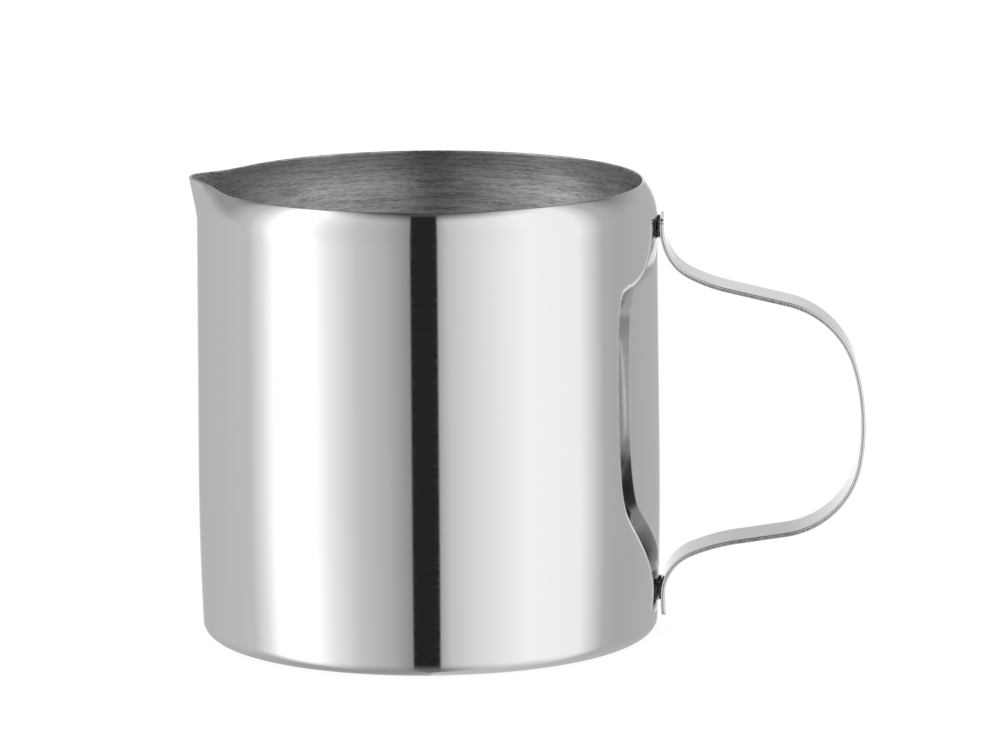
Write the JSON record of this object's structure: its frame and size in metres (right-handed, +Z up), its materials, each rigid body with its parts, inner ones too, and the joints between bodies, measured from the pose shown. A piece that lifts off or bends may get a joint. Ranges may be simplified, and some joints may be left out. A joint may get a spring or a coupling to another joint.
{
  "type": "milk frothing pitcher",
  "caption": "Half-litre stainless steel milk frothing pitcher: a straight drawn cup with a pressed pouring spout and a bent strap handle, open to the fingers, spot welded to its wall.",
  "frame": {"origin": "on the cup's axis, at the flat face it stands on", "axes": "+Z up along the cup's axis, +X towards the handle, -X towards the pouring spout"},
  "size_m": [0.1296, 0.0892, 0.0888],
  "materials": {
    "polished_steel": "mirror polished outside, brushed round the axis inside",
    "satin_steel": "satin faces with rounded, tumbled edges",
    "weld_steel": "bare weld metal"
  },
  "bodies": {
    "root": {"cup_body": "polished_steel", "strap_handle": "satin_steel", "upper_spot_weld_front": "weld_steel", "upper_spot_weld_back": "weld_steel", "lower_spot_weld_front": "weld_steel", "lower_spot_weld_back": "weld_steel"}
  },
  "joints": []
}
